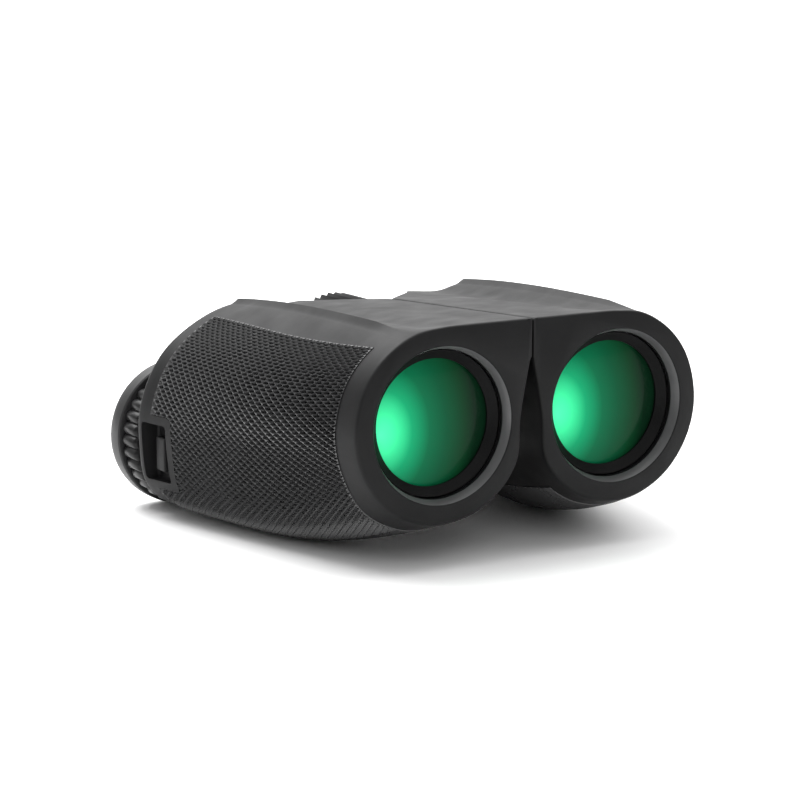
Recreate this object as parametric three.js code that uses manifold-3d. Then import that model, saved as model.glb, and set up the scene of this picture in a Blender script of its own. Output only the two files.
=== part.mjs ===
// Compact reverse-Porro binoculars with 25 mm objectives.
// Millimetres, +Z up, objectives towards -Y, the user's left half towards +X.
// Inside the assembly group, y is measured back from the front face and z from the objective axes.

import * as THREE from 'three';
import { mergeVertices } from 'three/addons/utils/BufferGeometryUtils.js';
import Module from 'manifold-3d';

const wasm = await Module();
wasm.setup();

// Driving dimensions
const LENGTH = 83.2;
const REST_HEIGHT = 28.3;
const OBJECTIVE_X = 20;
const OCULAR_X = 36;
const OCULAR_Z = -13;
const HINGE_Z = 2;
const GAP = 0.3;

// Housing
const HOUSING_END = 70;
const WALL = 2.2;
const FRONT_WALL = 2.6;
const BARREL_RADIUS = 19.1;
const STATIONS = [0, 2.6, 6, 13, 22, 32, 42, 52, 61, 70];
const BELLY_PLACE = 0.6;
const BELLY_REACH = 1.13;
const OUTLINE_STEPS = 34;
const GRIP_FRONT = 6;
const GRIP_REAR = 65;
const GRIP_DEPTH = 1.2;
const GRIP_THICKNESS = 0.9;
const GRIP_FIRST_STEP = 8;
const GRIP_EDGE_SHIFT = 0.8;
const GRIP_LAST_STEP = 26;

// Front lens group
const BEZEL_RADIUS = 15.3;
const BORE_RADIUS = 14.5;
const BEZEL_DEPTH = 2;
const LENS_RADIUS = 12.8;
const LENS_FACES = [5.2, 7.6];
const CELL_RADIUS = 15.1;
const CELL_FRONT = 2.9;
const CELL_REAR = 11.6;
const CELL_STEP = 4.9;
const LENS_SEAT = 8.6;
const LENS_SEAT_RADIUS = 10.6;
const RING_OUTER = 14.2;
const RING_INNER = 12.4;

// Prisms
const PRISM_OFFSET = 14.57;
const PRISM_REACH = 10.8;
const PRISM_WIDTH = 8.4;
const PRISM_FACE_Y = 37;
const PRISM_EDGE = 1.4;
const PRISM_RIDGE = 0.8;
const PRISM_WINDOW = 4.8;
const CLIP_HEIGHT = 13;
const CLIP_GAUGE = 0.8;
const CLIP_WIDTH = 2.2;
const SHELF_THICKNESS = 1.2;

// Hinge and focus drive
const KNUCKLE_RADIUS = 4.4;
const AXLE_RADIUS = 2;
const KNUCKLES = [[14, 25, 1], [25.4, 38, -1], [38.4, 50, 1]];
const HINGE_CLEARANCE = 2;
const WEB_REACH = 6;
const WEB_HALF = 1.4;
const AXLE_ENDS = [10.3, 52];
const SCREW_ENDS = [52.4, 77.5];
const NUT_ENDS = [55, 59];
const RECESS_RADIUS = 13;
const RECESS_FRONT = 53.6;
const WHEEL_RADIUS = 12;
const WHEEL_FRONT = 63;
const WHEEL_REAR = 79;
const WHEEL_TEETH = 44;
const WHEEL_TOOTH_DEPTH = 0.9;
const WHEEL_DISH_RADIUS = 9.4;
const WHEEL_DISH_DEPTH = 1.2;
const WHEEL_CAP_RADIUS = 9.1;
// Half of the opening over the focus wheel, as x and y from the seam outwards
const WHEEL_OPENING = [[-1, 53.4], [0.6, 53.4], [4.6, 57.6], [8.6, 62], [12, 66.2], [14.4, 71], [-1, 71]];
const ARM_THICKNESS = 1.4;
const ARM_WIDTH = 6;
const ARM_FRONT = 55.4;
const NUT_RADIUS = 3.2;

// Eyepieces
const TUBE_RADIUS = 9;
const TUBE_WALL = 0.9;
const TUBE_REAR = 79;
const LENS_CELL_RADIUS = 7.8;
const EYE_LENS_RADIUS = 6.7;
const FIELD_LENS_FACES = [66.4, 68];
const EYE_LENS_FACES = [75, 77.2];
const LENS_CELL_FRONT = 64;
const LENS_CELL_REAR = 80;
const LENS_CELL_BORE = 6.1;
const RING_FRONT = 71.6;
const RING_REAR = 77.5;
const RING_RADIUS = 14.8;
const RING_RIBS = 34;
const RING_RIB_DEPTH = 1.1;
const RING_WEB = 0.9;
const RING_BORE = 11.6;
const CUP_FRONT = 77.9;
const CUP_RADIUS = 15.3;
const CUP_SLEEVE_RADIUS = 11.3;
const CUP_HOLLOW_FRONT = 80.2;

// Rear covers
const COVER_THICKNESS = 1.8;
const COVER_FRONT = HOUSING_END - COVER_THICKNESS;
const COVER_SCREWS = [[24.5, 7.5], [37, 4.5], [24.6, -18.6]];
const SCREW_RADIUS = 1;
const SCREW_HEAD_RADIUS = 2;
const SCREW_CLEARANCE = 0.3;

// Strap lug
const LUG_FRONT = 60;
const LUG_REAR = 68;
const LUG_TOP = -7.5;
const LUG_BOTTOM = -19.5;
const LUG_FLOOR_X = 46.7;
const LUG_POST = [[45.5, 61.2, -17.2], [48.9, 65, -10.2]];
const LUG_BORDER = 1.8;

const SEGMENTS = 24;
const FINE_SEGMENTS = 32;

function material(colour, roughness, metalness) {
  return new THREE.MeshStandardMaterial({ color: colour, roughness, metalness });
}

const looks = {
  armour: () => material(0x1d1d1e, 0.62, 0),
  grip: () => material(0x0f0f10, 0.7, 0),
  blackMetal: () => material(0x18181a, 0.45, 0.6),
  plastic: () => material(0x151516, 0.5, 0),
  coatedGlass: () => material(0x0b8f55, 0.08, 0),
  glass: () => material(0xbfd0c8, 0.05, 0),
  steel: () => material(0x9a9da0, 0.3, 1),
  brass: () => material(0xb08d4a, 0.35, 1),
  satin: () => material(0x2a2a2b, 0.4, 0),
};

// Merges shared corners, drops collapsed triangles and turns the faces outwards.
function closedBody(geometry) {
  const bare = geometry.clone();
  bare.deleteAttribute('normal');
  bare.deleteAttribute('uv');
  const merged = mergeVertices(bare, 1e-4);
  const place = merged.getAttribute('position');
  const kept = [];
  const a = new THREE.Vector3();
  const b = new THREE.Vector3();
  const c = new THREE.Vector3();
  let volume = 0;
  for (let i = 0; i < merged.index.count; i += 3) {
    const corners = [merged.index.getX(i), merged.index.getX(i + 1), merged.index.getX(i + 2)];
    if (new Set(corners).size < 3) {
      continue;
    }
    a.fromBufferAttribute(place, corners[0]);
    b.fromBufferAttribute(place, corners[1]);
    c.fromBufferAttribute(place, corners[2]);
    volume += a.dot(b.cross(c));
    kept.push(...corners);
  }
  if (volume < 0) {
    kept.reverse();
  }
  merged.setIndex(kept);
  return merged;
}

function toSolid(geometry) {
  const body = closedBody(geometry);
  return new wasm.Manifold(new wasm.Mesh({
    numProp: 3,
    vertProperties: new Float32Array(body.getAttribute('position').array),
    triVerts: new Uint32Array(body.index.array),
  }));
}

function toGeometry(solid) {
  const mesh = solid.getMesh();
  const geometry = new THREE.BufferGeometry();
  geometry.setAttribute('position', new THREE.BufferAttribute(mesh.vertProperties, 3));
  geometry.setIndex([...mesh.triVerts]);
  return geometry;
}

// A body turned about an axis parallel to Y; the profile is a closed list of [radius, y].
function turned(profile, x, z, segments = SEGMENTS) {
  const points = profile.map(([radius, y]) => new THREE.Vector2(radius, y));
  if (profile.some(([radius]) => radius === 0)) {
    return closedBody(new THREE.LatheGeometry(points, segments).translate(x, 0, z));
  }
  points.push(points[0].clone());
  return closedBody(new THREE.LatheGeometry(points, segments).translate(x, 0, z));
}

function rod(radius, front, rear, x, z, segments = SEGMENTS) {
  return turned([[0, front], [radius, front], [radius, rear], [0, rear]], x, z, segments);
}

function tube(outer, inner, front, rear, x, z, segments = SEGMENTS) {
  return turned([[inner, front], [outer, front], [outer, rear], [inner, rear]], x, z, segments);
}

function block(low, high) {
  const size = high.map((value, i) => value - low[i]);
  const centre = high.map((value, i) => (value + low[i]) / 2);
  return closedBody(new THREE.BoxGeometry(...size).translate(...centre));
}

// An outline in x and z, extruded backwards from the given y.
function slab(shape, front, rear) {
  const geometry = new THREE.ExtrudeGeometry(shape, { depth: rear - front, bevelEnabled: false });
  geometry.rotateX(Math.PI / 2);
  geometry.translate(0, rear, 0);
  return closedBody(geometry);
}

function mirrored(geometry) {
  return closedBody(geometry.clone().scale(-1, 1, 1));
}

// Closed skin through rings that have equally many points, with flat ends.
function loft(rings) {
  const count = rings[0].length;
  const positions = rings.flat().flatMap((point) => point.toArray());
  const index = [];
  for (let ring = 0; ring < rings.length - 1; ring += 1) {
    for (let i = 0; i < count; i += 1) {
      const next = (i + 1) % count;
      const a = ring * count + i;
      const b = ring * count + next;
      index.push(a, b, a + count, b, b + count, a + count);
    }
  }
  for (const ring of [0, rings.length - 1]) {
    const flat = rings[ring].map((point) => new THREE.Vector2(point.x, point.z));
    for (const [a, b, c] of THREE.ShapeUtils.triangulateShape(flat, [])) {
      const corners = [a, b, c].map((i) => i + ring * count);
      index.push(...(ring === 0 ? corners : corners.reverse()));
    }
  }
  const geometry = new THREE.BufferGeometry();
  geometry.setAttribute('position', new THREE.Float32BufferAttribute(positions, 3));
  geometry.setIndex(index);
  return geometry;
}

// Key points of one housing's outline, from the seam over the top and round to the inner wall:
// front x and z, rear x and z, and the growth curve that its height follows.
const straight = (t) => t;
const late = (t) => t ** 3;
const early = (t) => t ** 0.7;
const belly = (t) => (t < BELLY_PLACE
  ? BELLY_REACH * Math.sin(Math.PI / 2 * t / BELLY_PLACE)
  : BELLY_REACH - (BELLY_REACH - 1) * ((t - BELLY_PLACE) / (1 - BELLY_PLACE)) ** 2);
const onBarrel = (x, sign) => sign * Math.sqrt(BARREL_RADIUS ** 2 - (x - OBJECTIVE_X) ** 2);
const OUTLINE = [
  [0.2, 19.1, 0.2, 14.9, straight],
  [7, 19.1, 7, 14.7, straight],
  [14, 19.1, 14, 14.3, straight],
  [OBJECTIVE_X, 19.1, 21, 13.9, early],
  [26.5, onBarrel(26.5, 1), 27.6, 15, late],
  [33, onBarrel(33, 1), 35.6, 12.9, late],
  [37.2, onBarrel(37.2, 1), 45.2, 6.2, straight],
  [39.1, 0, 50.4, -4, straight],
  [37.6, onBarrel(37.6, -1), 50.9, -13, straight],
  [33, onBarrel(33, -1), 49.4, -21, belly],
  [26.5, onBarrel(26.5, -1), 44.2, -25.6, belly],
  [OBJECTIVE_X, -BARREL_RADIUS, 36, -27.1, belly],
  [12, onBarrel(12, -1), 27, -25.3, belly],
  [6, onBarrel(6, -1), 17, -20, belly],
  [3, -8, 6, -9, straight],
  [2.4, 0, 3, 0, straight],
  [0.2, 11.6, 0.2, 11.6, straight],
];

function outlineAt(y) {
  const t = y / HOUSING_END;
  const points = OUTLINE.map(([frontX, frontZ, rearX, rearZ, growth]) => new THREE.Vector3(
    THREE.MathUtils.lerp(frontX, rearX, t),
    y,
    THREE.MathUtils.lerp(frontZ, rearZ, growth(t)),
  ));
  return new THREE.CatmullRomCurve3(points, false, 'centripetal').getSpacedPoints(OUTLINE_STEPS);
}

// The outline at y, moved inwards by the given distance within its own plane.
function insetOutline(y, distance) {
  const points = outlineAt(y);
  const count = points.length;
  return points.map((point, i) => {
    const before = points[(i + count - 1) % count];
    const after = points[(i + 1) % count];
    const along = after.clone().sub(before).normalize();
    return new THREE.Vector3(point.x + along.z * distance, y, point.z - along.x * distance);
  });
}

function solidAbout(x, z, radius, front, rear) {
  return toSolid(rod(radius, front, rear, x, z));
}

function wheelOpening() {
  const outline = new THREE.Shape(WHEEL_OPENING.map(([x, y]) => new THREE.Vector2(x, y)));
  const cut = new THREE.ExtrudeGeometry(outline, { depth: BARREL_RADIUS, bevelEnabled: false });
  return closedBody(cut.translate(0, 0, HINGE_Z));
}

function housingShell(side) {
  const keepOut = [
    toSolid(rod(KNUCKLE_RADIUS + HINGE_CLEARANCE, CELL_REAR + GAP, RECESS_FRONT, 0, HINGE_Z)),
    toSolid(rod(RECESS_RADIUS + WALL, RECESS_FRONT - WALL, HOUSING_END + 1, 0, HINGE_Z)),
    toSolid(block([LUG_FLOOR_X - 1, LUG_FRONT - 1, LUG_BOTTOM - 1], [60, HOUSING_END + 1, LUG_TOP + 1])),
  ];
  let cavity = toSolid(loft([FRONT_WALL, ...STATIONS.slice(2), HOUSING_END + 1].map((y) => (
    insetOutline(Math.min(y, HOUSING_END), WALL).map((point) => point.setY(y))
  ))));
  for (const solid of keepOut) {
    cavity = cavity.subtract(solid);
  }
  let shell = toSolid(loft(STATIONS.map(outlineAt)));
  const flare = (BEZEL_RADIUS - BORE_RADIUS) / BEZEL_DEPTH;
  const bezel = turned([
    [0, -1], [BEZEL_RADIUS + flare, -1], [BORE_RADIUS, BEZEL_DEPTH],
    [BORE_RADIUS, FRONT_WALL + 1], [0, FRONT_WALL + 1],
  ], OBJECTIVE_X, 0, FINE_SEGMENTS);
  shell = shell.subtract(gripRegion()).subtract(cavity).subtract(toSolid(bezel));
  shell = shell.subtract(solidAbout(0, HINGE_Z, RECESS_RADIUS, RECESS_FRONT, HOUSING_END + 1));
  shell = shell.subtract(toSolid(wheelOpening()));
  shell = shell.subtract(toSolid(block([LUG_FLOOR_X, LUG_FRONT, LUG_BOTTOM], [60, LUG_REAR, LUG_TOP])));
  shell = shell.add(toSolid(block(...LUG_POST)));
  shell = shell.subtract(toSolid(armSlot()));
  for (const [front, rear, owner] of KNUCKLES) {
    if (owner === side) {
      const web = block([0, front, HINGE_Z - WEB_HALF], [WEB_REACH, rear, HINGE_Z + WEB_HALF]);
      shell = shell.add(solidAbout(0, HINGE_Z, KNUCKLE_RADIUS, front, rear)).add(toSolid(web));
    } else {
      shell = shell.subtract(solidAbout(0, HINGE_Z, KNUCKLE_RADIUS + GAP, front - GAP / 2, rear + GAP / 2));
    }
  }
  shell = shell.subtract(solidAbout(0, HINGE_Z, AXLE_RADIUS + GAP, 10, 56));
  return toGeometry(shell);
}

// The outer skin between two steps of the outline and two depths, from the grip's front to its rear.
function skinPatch(outerDepth, innerDepth, margin) {
  const ys = [GRIP_FRONT + margin, ...STATIONS.filter((y) => y > GRIP_FRONT + 2 && y < GRIP_REAR - 2)];
  ys.push(GRIP_REAR - margin);
  const rings = ys.map((y) => {
    const outer = insetOutline(y, outerDepth).slice(GRIP_FIRST_STEP, GRIP_LAST_STEP + 1);
    const inner = insetOutline(y, innerDepth).slice(GRIP_FIRST_STEP, GRIP_LAST_STEP + 1);
    const shift = GRIP_EDGE_SHIFT * (1 - y / HOUSING_END);
    for (const row of [outer, inner]) {
      const last = row.length - 1;
      row[0].lerp(row[1], shift + margin / row[0].distanceTo(row[1]));
      row[last].lerp(row[last - 1], margin / row[last].distanceTo(row[last - 1]));
    }
    return [...outer, ...inner.reverse()];
  });
  return loft(rings);
}

// The smooth frame round the strap lug, where neither the grip nor its recess goes.
function lugFrame(border) {
  return toSolid(block(
    [40, LUG_FRONT - border, LUG_BOTTOM - border],
    [60, HOUSING_END, LUG_TOP + border],
  ));
}

function gripRegion() {
  return toSolid(skinPatch(-1, GRIP_DEPTH, 0)).subtract(lugFrame(LUG_BORDER));
}

function gripPanel() {
  const panel = toSolid(skinPatch(GRIP_DEPTH - GAP - GRIP_THICKNESS, GRIP_DEPTH - GAP, GAP));
  return toGeometry(panel.subtract(lugFrame(LUG_BORDER + GAP)));
}

function armDirection() {
  return Math.atan2(OCULAR_Z - HINGE_Z, OCULAR_X);
}

function armSlot() {
  const halfSlot = ARM_WIDTH / 2 + 1.6;
  const slot = block([8, RECESS_FRONT, -halfSlot], [26, WHEEL_FRONT - GAP, halfSlot]);
  slot.rotateY(-armDirection());
  return slot.translate(0, 0, HINGE_Z);
}

function bridgeArm(front) {
  const rear = front + ARM_THICKNESS;
  const reach = Math.hypot(OCULAR_X, OCULAR_Z - HINGE_Z);
  const halfBar = ARM_WIDTH / 2;
  const bar = block([NUT_RADIUS + 1, front, -halfBar], [reach - TUBE_RADIUS, rear, halfBar]);
  bar.rotateY(-armDirection());
  bar.translate(0, 0, HINGE_Z);
  const hub = solidAbout(0, HINGE_Z, NUT_RADIUS + 2.2, front, rear);
  const eye = solidAbout(OCULAR_X, OCULAR_Z, TUBE_RADIUS + 1.4, front, rear);
  const opening = toSolid(block(
    [OCULAR_X + 5, front - 1, OCULAR_Z - 2 * TUBE_RADIUS],
    [OCULAR_X + 2 * TUBE_RADIUS, rear + 1, OCULAR_Z + 2 * TUBE_RADIUS],
  ));
  const arm = toSolid(bar).add(hub).add(eye).subtract(opening);
  return toGeometry(arm
    .subtract(solidAbout(0, HINGE_Z, NUT_RADIUS + GAP, front - 1, rear + 1))
    .subtract(solidAbout(OCULAR_X, OCULAR_Z, TUBE_RADIUS + GAP, front - 1, rear + 1)));
}

// A glass body with two domed faces; the faces' places are where they meet the edge.
function lens(radius, [front, rear], bulge, x, z) {
  const steps = [0, 0.6, 1];
  const profile = steps.map((t) => [radius * t, front - bulge * (1 - t * t)]);
  for (const t of [...steps].reverse()) {
    profile.push([radius * t, rear + bulge * (1 - t * t)]);
  }
  return turned(profile, x, z);
}

// A right-angle prism whose long face looks along y; facing is 1 when its ridge is behind the face.
function prism(centreX, centreZ, angle, facing) {
  const ridge = PRISM_REACH + PRISM_EDGE - PRISM_RIDGE;
  const outline = new THREE.Shape([
    new THREE.Vector2(-PRISM_REACH, 0),
    new THREE.Vector2(PRISM_REACH, 0),
    new THREE.Vector2(PRISM_REACH, PRISM_EDGE),
    new THREE.Vector2(PRISM_RIDGE, ridge),
    new THREE.Vector2(-PRISM_RIDGE, ridge),
    new THREE.Vector2(-PRISM_REACH, PRISM_EDGE),
  ]);
  const body = new THREE.ExtrudeGeometry(outline, { depth: PRISM_WIDTH, bevelEnabled: false });
  body.translate(0, 0, -PRISM_WIDTH / 2);
  body.scale(1, facing, 1);
  body.rotateY(-angle);
  body.translate(centreX, PRISM_FACE_Y + facing * (SHELF_THICKNESS / 2 + GAP), centreZ);
  return closedBody(body);
}

const FOLD_ANGLE = Math.atan2(OCULAR_Z, OCULAR_X - OBJECTIVE_X);
const FIRST_ANGLE = FOLD_ANGLE - Math.PI / 4;
const LAST_ANGLE = FOLD_ANGLE + Math.PI / 4;
const KINK = {
  x: OBJECTIVE_X + PRISM_OFFSET * Math.cos(FIRST_ANGLE),
  z: PRISM_OFFSET * Math.sin(FIRST_ANGLE),
};

function rearPrism() {
  return prism((OBJECTIVE_X + KINK.x) / 2, KINK.z / 2, FIRST_ANGLE, 1);
}

function frontPrism() {
  return prism((OCULAR_X + KINK.x) / 2, (OCULAR_Z + KINK.z) / 2, LAST_ANGLE, -1);
}

// The shelf that both prisms sit on, with a window for each of the three light paths.
function prismShelf() {
  const front = PRISM_FACE_Y - SHELF_THICKNESS / 2;
  const rear = front + SHELF_THICKNESS;
  const outline = insetOutline(PRISM_FACE_Y, WALL + GAP + 0.3).map((p) => new THREE.Vector2(p.x, p.z));
  let shelf = toSolid(slab(new THREE.Shape(outline), front, rear));
  for (const [x, z] of [[OBJECTIVE_X, 0], [KINK.x, KINK.z], [OCULAR_X, OCULAR_Z]]) {
    shelf = shelf.subtract(solidAbout(x, z, PRISM_WINDOW, front - 1, rear + 1));
  }
  return toGeometry(shelf.subtract(
    solidAbout(0, HINGE_Z, KNUCKLE_RADIUS + HINGE_CLEARANCE + 2 * GAP, front - 1, rear + 1),
  ));
}

function prismClip() {
  const path = new THREE.Shape();
  const reach = PRISM_WIDTH / 2 + GAP;
  const outside = reach + CLIP_GAUGE;
  path.moveTo(-outside, 0);
  path.lineTo(-reach, 0);
  path.lineTo(-reach, CLIP_HEIGHT);
  path.lineTo(reach, CLIP_HEIGHT);
  path.lineTo(reach, 0);
  path.lineTo(outside, 0);
  path.lineTo(outside, CLIP_HEIGHT + CLIP_GAUGE);
  path.lineTo(-outside, CLIP_HEIGHT + CLIP_GAUGE);
  const clip = new THREE.ExtrudeGeometry(path, { depth: CLIP_WIDTH, bevelEnabled: false });
  clip.translate(0, 0, -CLIP_WIDTH / 2);
  clip.rotateY(Math.PI / 2 - FIRST_ANGLE);
  clip.translate((OBJECTIVE_X + KINK.x) / 2, PRISM_FACE_Y + SHELF_THICKNESS / 2 + GAP, KINK.z / 2);
  return closedBody(clip);
}

function objectiveCell() {
  const ringSeat = RING_OUTER + GAP;
  const lensSeat = LENS_RADIUS + GAP;
  return turned([
    [ringSeat, CELL_FRONT], [CELL_RADIUS, CELL_FRONT], [CELL_RADIUS, CELL_REAR],
    [LENS_SEAT_RADIUS, CELL_REAR], [LENS_SEAT_RADIUS, LENS_SEAT], [lensSeat, LENS_SEAT],
    [lensSeat, CELL_STEP], [ringSeat, CELL_STEP],
  ], OBJECTIVE_X, 0, FINE_SEGMENTS);
}

// The ring that holds the lens in its cell, with a funnel-shaped front.
function objectiveRing() {
  const rear = CELL_STEP - GAP;
  return turned([
    [RING_INNER, rear - 0.4], [RING_OUTER - 0.2, CELL_FRONT], [RING_OUTER, CELL_FRONT],
    [RING_OUTER, rear], [RING_INNER, rear],
  ], OBJECTIVE_X, 0, FINE_SEGMENTS);
}

function rearCover() {
  const outline = insetOutline(HOUSING_END - 1, WALL + GAP).map((p) => new THREE.Vector2(p.x, p.z));
  let cover = toSolid(slab(new THREE.Shape(outline), COVER_FRONT, HOUSING_END));
  const cuts = [
    solidAbout(OCULAR_X, OCULAR_Z, TUBE_RADIUS + GAP, COVER_FRONT - 1, HOUSING_END + 1),
    solidAbout(0, HINGE_Z, RECESS_RADIUS + WALL + GAP, COVER_FRONT - 1, HOUSING_END + 1),
    toSolid(block(
      [LUG_FLOOR_X - 1 - GAP, COVER_FRONT - 1, LUG_BOTTOM - 1 - GAP],
      [60, HOUSING_END + 1, LUG_TOP + 1 + GAP],
    )),
  ];
  for (const [x, z] of COVER_SCREWS) {
    cuts.push(solidAbout(x, z, SCREW_RADIUS + SCREW_CLEARANCE, COVER_FRONT - 1, HOUSING_END + 1));
    cuts.push(solidAbout(x, z, SCREW_HEAD_RADIUS + SCREW_CLEARANCE, HOUSING_END - 1, HOUSING_END + 1));
  }
  for (const cut of cuts) {
    cover = cover.subtract(cut);
  }
  return toGeometry(cover);
}

function coverScrew(x, z) {
  return turned([
    [0, COVER_FRONT - 4], [SCREW_RADIUS, COVER_FRONT - 4], [SCREW_RADIUS, HOUSING_END - 0.7],
    [SCREW_HEAD_RADIUS, HOUSING_END - 0.7], [SCREW_HEAD_RADIUS, HOUSING_END - 0.1],
    [SCREW_HEAD_RADIUS - 0.4, HOUSING_END + 0.1], [0, HOUSING_END + 0.1],
  ], x, z, 10);
}

function ocularTube(front) {
  return tube(TUBE_RADIUS, TUBE_RADIUS - TUBE_WALL, front, TUBE_REAR, OCULAR_X, OCULAR_Z);
}

function lensCell() {
  const inner = EYE_LENS_RADIUS + GAP;
  const lip = LENS_CELL_REAR - 0.8;
  return turned([
    [inner, LENS_CELL_FRONT], [LENS_CELL_RADIUS, LENS_CELL_FRONT], [LENS_CELL_RADIUS, LENS_CELL_REAR],
    [LENS_CELL_BORE, LENS_CELL_REAR], [LENS_CELL_BORE, lip], [inner, lip],
  ], OCULAR_X, OCULAR_Z);
}

// A ring with rounded ribs round it, and a thin web in front that rides on the eyepiece tube.
function ribbedRing() {
  const outline = new THREE.Shape();
  const steps = RING_RIBS * 2;
  for (let i = 0; i < steps; i += 1) {
    const turn = (i / steps) * Math.PI * 2;
    const radius = RING_RADIUS - RING_RIB_DEPTH / 2 * (1 - Math.cos(turn * RING_RIBS));
    outline[i ? 'lineTo' : 'moveTo'](radius * Math.cos(turn), radius * Math.sin(turn));
  }
  const ring = slab(outline, RING_FRONT, RING_REAR).translate(OCULAR_X, 0, OCULAR_Z);
  return toGeometry(toSolid(ring)
    .subtract(solidAbout(OCULAR_X, OCULAR_Z, TUBE_RADIUS + GAP, RING_FRONT - 1, RING_REAR + 1))
    .subtract(solidAbout(OCULAR_X, OCULAR_Z, RING_BORE, RING_FRONT + RING_WEB, RING_REAR + 1)));
}

function eyecup() {
  const bore = TUBE_RADIUS + GAP;
  const sleeveFront = RING_FRONT + RING_WEB + GAP;
  return turned([
    [bore, sleeveFront], [CUP_SLEEVE_RADIUS, sleeveFront], [CUP_SLEEVE_RADIUS, CUP_FRONT],
    [CUP_RADIUS - 0.5, CUP_FRONT], [CUP_RADIUS, CUP_FRONT + 0.5], [CUP_RADIUS, LENGTH - 1.2],
    [CUP_RADIUS - 0.4, LENGTH - 0.4], [CUP_RADIUS - 1.3, LENGTH], [CUP_RADIUS - 2.3, LENGTH],
    [bore + 0.6, CUP_HOLLOW_FRONT], [bore, CUP_HOLLOW_FRONT],
  ], OCULAR_X, OCULAR_Z);
}

function focusWheel() {
  const outline = new THREE.Shape();
  const step = (Math.PI * 2) / WHEEL_TEETH;
  for (let i = 0; i < WHEEL_TEETH; i += 1) {
    const corners = [[0, WHEEL_RADIUS - WHEEL_TOOTH_DEPTH], [0.4, WHEEL_RADIUS], [0.6, WHEEL_RADIUS]];
    for (const [part, radius] of corners) {
      const turn = (i + part) * step;
      outline[i + part ? 'lineTo' : 'moveTo'](radius * Math.cos(turn), radius * Math.sin(turn));
    }
  }
  const wheel = slab(outline, WHEEL_FRONT, WHEEL_REAR).translate(0, 0, HINGE_Z);
  return toGeometry(toSolid(wheel)
    .subtract(solidAbout(0, HINGE_Z, AXLE_RADIUS + GAP, WHEEL_FRONT - 1, WHEEL_REAR + 1))
    .subtract(solidAbout(0, HINGE_Z, WHEEL_DISH_RADIUS, WHEEL_REAR - WHEEL_DISH_DEPTH, WHEEL_REAR + 1)));
}

const assembly = new THREE.Group();
assembly.position.set(0, -LENGTH / 2, REST_HEIGHT);

function piece(name, geometry, look) {
  const mesh = new THREE.Mesh(closedBody(geometry), look());
  mesh.name = name;
  assembly.add(mesh);
}

function halfPieces(side) {
  const prefix = side > 0 ? 'left' : 'right';
  const add = (name, geometry, look) => {
    piece(`${prefix}_${name}`, side > 0 ? geometry : mirrored(geometry), look);
  };
  const armFront = side > 0 ? ARM_FRONT + ARM_THICKNESS + GAP : ARM_FRONT;
  add('body_shell', housingShell(side), looks.armour);
  add('grip_panel', gripPanel(), looks.grip);
  add('objective_cell', objectiveCell(), looks.blackMetal);
  add('objective_ring', objectiveRing(), looks.blackMetal);
  add('objective_lens', lens(LENS_RADIUS, LENS_FACES, 0.9, OBJECTIVE_X, 0), looks.coatedGlass);
  add('prism_shelf', prismShelf(), looks.blackMetal);
  add('front_prism', frontPrism(), looks.glass);
  add('rear_prism', rearPrism(), looks.glass);
  add('prism_clip', prismClip(), looks.steel);
  add('rear_cover', rearCover(), looks.plastic);
  COVER_SCREWS.forEach(([x, z], i) => add(`cover_screw_${i + 1}`, coverScrew(x, z), looks.steel));
  add('bridge_arm', bridgeArm(armFront), looks.blackMetal);
  add('ocular_tube', ocularTube(armFront - 0.4), looks.blackMetal);
  add('lens_cell', lensCell(), looks.plastic);
  add('field_lens', lens(EYE_LENS_RADIUS, FIELD_LENS_FACES, 0.8, OCULAR_X, OCULAR_Z), looks.glass);
  add('eye_lens', lens(EYE_LENS_RADIUS, EYE_LENS_FACES, 0.9, OCULAR_X, OCULAR_Z), looks.glass);
  add(side > 0 ? 'ribbed_ring' : 'dioptre_ring', ribbedRing(), looks.plastic);
  add('eyecup', eyecup(), looks.satin);
}

halfPieces(1);
halfPieces(-1);

piece('hinge_axle', rod(AXLE_RADIUS, ...AXLE_ENDS, 0, HINGE_Z), looks.steel);
piece('focus_screw', rod(AXLE_RADIUS, ...SCREW_ENDS, 0, HINGE_Z), looks.brass);
piece('bridge_nut', tube(NUT_RADIUS, AXLE_RADIUS + GAP, ...NUT_ENDS, 0, HINGE_Z), looks.brass);
piece('focus_wheel', focusWheel(), looks.plastic);
const capFront = WHEEL_REAR - WHEEL_DISH_DEPTH + GAP;
piece('wheel_cap', rod(WHEEL_CAP_RADIUS, capFront, WHEEL_REAR + GAP, 0, HINGE_Z), looks.satin);

export default assembly;
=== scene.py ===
import bpy
import math
import numpy as np
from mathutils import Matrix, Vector


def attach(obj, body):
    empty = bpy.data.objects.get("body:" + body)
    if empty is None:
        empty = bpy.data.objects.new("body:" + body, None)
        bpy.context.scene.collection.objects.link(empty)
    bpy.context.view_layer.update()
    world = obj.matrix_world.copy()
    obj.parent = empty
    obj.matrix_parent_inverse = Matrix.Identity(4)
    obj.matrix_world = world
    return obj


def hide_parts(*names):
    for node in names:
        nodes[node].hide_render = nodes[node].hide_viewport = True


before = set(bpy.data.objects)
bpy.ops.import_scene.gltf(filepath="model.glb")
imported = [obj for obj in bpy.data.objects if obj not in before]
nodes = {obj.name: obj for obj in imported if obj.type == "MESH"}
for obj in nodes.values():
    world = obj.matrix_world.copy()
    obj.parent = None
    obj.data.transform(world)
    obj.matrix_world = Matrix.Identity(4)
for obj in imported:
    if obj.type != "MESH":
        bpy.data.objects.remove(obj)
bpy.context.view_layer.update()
mm = 0.001

# Millimetres inside the assembly: y runs back from the front face, z up from the objective axes
place = {"frontY": -41.6, "axisZ": 28.3}


def inRow(x, y, z):
    return Vector((x, y + place["frontY"], z + place["axisZ"])) * mm


def deselectAll():
    if bpy.context.object and bpy.context.object.mode != "OBJECT":
        bpy.ops.object.mode_set(mode="OBJECT")
    bpy.ops.object.select_all(action="DESELECT")


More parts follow.
